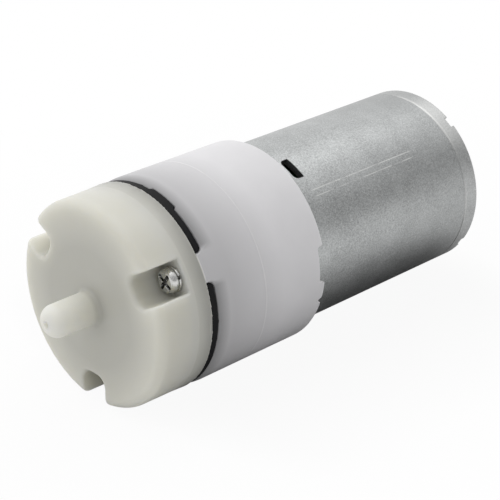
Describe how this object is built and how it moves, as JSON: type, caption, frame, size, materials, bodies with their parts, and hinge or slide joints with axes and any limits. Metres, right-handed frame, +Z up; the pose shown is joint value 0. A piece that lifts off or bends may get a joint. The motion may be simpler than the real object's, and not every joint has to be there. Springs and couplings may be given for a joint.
{
  "type": "mini air pump",
  "caption": "Mini diaphragm air pump: a round brushed motor drives a wobble rocker that works rubber cups under a valve head with a straight hose nozzle.",
  "frame": {"origin": "on the pump axis, in the plane of the rear rim of the pump housing, where the motor can comes out of it", "axes": "+X along the pump axis towards the motor's rear, the hose nozzle points to -X; +Z up, as the pump lies in the picture; the near cover screw faces -Y and +Z"},
  "size_m": [0.0678, 0.027, 0.027],
  "materials": {
    "cap_plastic": "moulded natural nylon, slightly translucent, satin",
    "housing_plastic": "moulded cool white plastic, satin",
    "black_rubber": "matt black rubber",
    "valve_rubber": "soft silicone rubber",
    "plated_screw": "bright nickel plated steel",
    "acetal": "natural acetal, satin",
    "ground_steel": "ground steel",
    "zinc_steel": "zinc plated drawn steel, satin with fine speckle",
    "bronze": "sintered bronze, oiled",
    "ferrite": "pressed ferrite, matt",
    "lamination": "stacked steel laminations",
    "green_insulator": "insulating board",
    "copper_wire": "enamelled copper wire",
    "brown_phenolic": "moulded phenolic",
    "copper": "turned copper",
    "carbon": "pressed carbon",
    "spring_brass": "rolled spring brass",
    "tinned_brass": "tinned brass strip"
  },
  "bodies": {
    "pump_body": {"head_cap": "cap_plastic", "valve_plate": "cap_plastic", "diaphragm": "black_rubber", "outlet_valve": "valve_rubber", "inlet_valve_1": "valve_rubber", "inlet_valve_2": "valve_rubber", "inlet_valve_3": "valve_rubber", "front_housing": "housing_plastic", "rear_housing": "housing_plastic", "cover_screws": "plated_screw", "spring_washers": "plated_screw", "motor_screws": "plated_screw", "motor_can": "zinc_steel", "front_bearing": "bronze", "rear_bearing": "bronze", "magnet_1": "ferrite", "magnet_2": "ferrite", "magnet_springs": "ground_steel", "brush_holder": "acetal", "end_plate": "zinc_steel", "brush_1": "carbon", "brush_2": "carbon", "brush_spring_1": "spring_brass", "brush_spring_2": "spring_brass", "terminal_1": "tinned_brass", "terminal_2": "tinned_brass"},
    "rotor": {"motor_shaft": "ground_steel", "armature_core": "lamination", "front_insulator": "green_insulator", "rear_insulator": "green_insulator", "winding_1": "copper_wire", "winding_2": "copper_wire", "winding_3": "copper_wire", "commutator_sleeve": "brown_phenolic", "commutator_segments": "copper", "thrust_washers": "acetal", "eccentric": "acetal"},
    "rocker": {"rocker": "acetal", "crank_pin": "ground_steel"}
  },
  "joints": [
    {"name": "rotor_spin", "type": "hinge", "parent": "pump_body", "child": "rotor", "pos_m": [0, 0, 0], "axis": [1, 0, 0], "continuous": true, "deforming": ["diaphragm"]},
    {"name": "rocker_nod", "type": "hinge", "parent": "rotor", "child": "rocker", "pos_m": [-0.016, 0, 0], "axis": [0.9888, 0, 0.1495], "continuous": true}
  ],
  "couplings": [
    {"joint": "rocker_nod", "follows": "rotor_spin", "ratio": -1}
  ]
}
